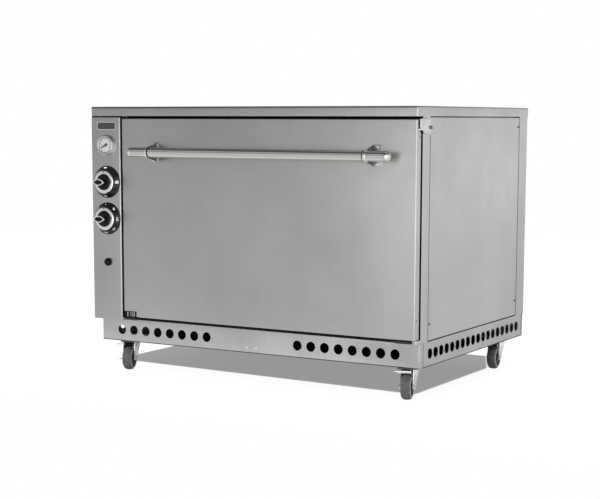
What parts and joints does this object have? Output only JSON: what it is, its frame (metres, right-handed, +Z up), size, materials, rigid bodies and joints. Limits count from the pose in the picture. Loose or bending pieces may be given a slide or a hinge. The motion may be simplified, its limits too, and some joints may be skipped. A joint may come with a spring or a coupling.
{
  "type": "lamb roasting oven",
  "caption": "Stainless steel gas roasting oven for whole lamb: drop-down door with a bar handle, side control panel with knobs and thermometer, perforated base on swivel casters.",
  "frame": {"origin": "on the floor, under the middle of the worktop's width and depth", "axes": "X to the right as seen from the front, Y from the door to the back, Z up"},
  "size_m": [1.2084, 0.9875, 0.888],
  "materials": {
    "brushed_steel": "brushed vertically, dull",
    "satin_steel": "satin",
    "base_steel": "cold rolled, lightly smeared",
    "polished_steel": "polished",
    "bright_steel": "bright",
    "liner_steel": "smooth",
    "galvanised": "galvanised",
    "dark_steel": "dull, oiled",
    "zinc": "bright zinc plated",
    "chrome": "chrome plated",
    "plate_dark": "plain, glossy",
    "black_enamel": "semi-gloss",
    "dial_white": "matt",
    "glass": "clear",
    "brass": "dull",
    "mineral_wool": "matted fibre",
    "cast_plate": "heat darkened",
    "bright_wire": "plated",
    "enamel_grey": "vitreous enamel",
    "burner_steel": "heat tinted",
    "black_plastic": "glossy",
    "black_rubber": "matt",
    "needle_black": "matt",
    "wheel_rubber": "matt"
  },
  "bodies": {
    "cabinet": {"worktop": "brushed_steel", "control_panel": "brushed_steel", "blank_plate": "plate_dark", "knob_bezels": "black_enamel", "gauge_case": "chrome", "gauge_dial": "dial_white", "gauge_glass": "glass", "gauge_probe": "brass", "side_panel_left": "satin_steel", "side_panel_right": "satin_steel", "front_posts": "satin_steel", "rear_posts": "brushed_steel", "back_panel": "galvanised", "sill": "brushed_steel", "front_frame": "brushed_steel", "oven_liner": "liner_steel", "oven_insulation": "mineral_wool", "sole_plate": "cast_plate", "rack_guides": "bright_wire", "rack_rails": "bright_wire", "wire_shelf": "bright_wire", "drip_tray": "enamel_grey", "burners": "burner_steel", "supply_pipe": "brass", "gas_manifold": "brass", "gas_tap": "brass", "thermostat": "brass", "igniter_body": "black_plastic", "pilot_burner": "brass", "flue_duct": "galvanised", "base_front": "base_steel", "base_sides": "base_steel", "base_rear": "base_steel", "base_crossbars": "galvanised", "caster_plates": "zinc", "cabinet_fasteners": "zinc", "hinge_seats": "dark_steel"},
    "door": {"door_skin": "brushed_steel", "door_inner": "liner_steel", "door_insulation": "mineral_wool", "door_seal": "black_rubber", "handle_tube": "polished_steel", "handle_caps": "polished_steel", "handle_brackets": "polished_steel", "door_fasteners": "zinc", "hinge_leaves": "dark_steel", "latch_pin": "zinc"},
    "latch": {"door_latch": "bright_steel"},
    "tap": {"tap_knob": "black_plastic"},
    "thermostat_dial": {"thermostat_knob": "black_plastic"},
    "igniter": {"igniter_button": "black_plastic"},
    "needle": {"gauge_needle": "needle_black"},
    "fork_fl": {"fork_fl": "zinc"},
    "wheel_fl": {"wheel_fl": "wheel_rubber"},
    "fork_fr": {"fork_fr": "zinc"},
    "wheel_fr": {"wheel_fr": "wheel_rubber"},
    "fork_rl": {"fork_rl": "zinc"},
    "wheel_rl": {"wheel_rl": "wheel_rubber"},
    "fork_rr": {"fork_rr": "zinc"},
    "wheel_rr": {"wheel_rr": "wheel_rubber"}
  },
  "joints": [
    {"name": "door_swing", "type": "hinge", "parent": "cabinet", "child": "door", "pos_m": [0.0615, -0.425, 0.191], "axis": [1, 0, 0], "range_deg": [0, 90]},
    {"name": "latch_lift", "type": "hinge", "parent": "cabinet", "child": "latch", "pos_m": [0.6019, -0.35, 0.8255], "axis": [-1, 0, 0], "range_deg": [0, 38]},
    {"name": "tap_turn", "type": "hinge", "parent": "cabinet", "child": "tap", "pos_m": [-0.536, -0.45, 0.642], "axis": [0, 1, 0], "range_deg": [0, 180]},
    {"name": "thermostat_turn", "type": "hinge", "parent": "cabinet", "child": "thermostat_dial", "pos_m": [-0.536, -0.45, 0.521], "axis": [0, 1, 0], "range_deg": [0, 315]},
    {"name": "igniter_press", "type": "slide", "parent": "cabinet", "child": "igniter", "axis": [0, 1, 0], "range_m": [0, 0.005], "stiffness_N_per_m": 400, "springref_m": -0.002},
    {"name": "gauge_swing", "type": "hinge", "parent": "cabinet", "child": "needle", "pos_m": [-0.536, -0.4384, 0.763], "axis": [0, 1, 0], "range_deg": [0, 240]},
    {"name": "swivel_fl", "type": "hinge", "parent": "cabinet", "child": "fork_fl", "pos_m": [-0.533, -0.31, 0.095], "axis": [0, 0, 1], "continuous": true},
    {"name": "roll_fl", "type": "hinge", "parent": "fork_fl", "child": "wheel_fl", "pos_m": [-0.52435, -0.33663, 0.04], "axis": [0.9511, 0.309, 0], "continuous": true},
    {"name": "swivel_fr", "type": "hinge", "parent": "cabinet", "child": "fork_fr", "pos_m": [0.523, -0.31, 0.095], "axis": [0, 0, 1], "continuous": true},
    {"name": "roll_fr", "type": "hinge", "parent": "fork_fr", "child": "wheel_fr", "pos_m": [0.52977, -0.33717, 0.04], "axis": [0.9703, 0.2419, 0], "continuous": true},
    {"name": "swivel_rl", "type": "hinge", "parent": "cabinet", "child": "fork_rl", "pos_m": [-0.533, 0.348, 0.095], "axis": [0, 0, 1], "continuous": true},
    {"name": "roll_rl", "type": "hinge", "parent": "fork_rl", "child": "wheel_rl", "pos_m": [-0.52814, 0.32043, 0.04], "axis": [0.9848, 0.1736, 0], "continuous": true},
    {"name": "swivel_rr", "type": "hinge", "parent": "cabinet", "child": "fork_rr", "pos_m": [0.533, 0.348, 0.095], "axis": [0, 0, 1], "continuous": true},
    {"name": "roll_rr", "type": "hinge", "parent": "fork_rr", "child": "wheel_rr", "pos_m": [0.53593, 0.32015, 0.04], "axis": [0.9945, 0.1045, 0], "continuous": true}
  ]
}
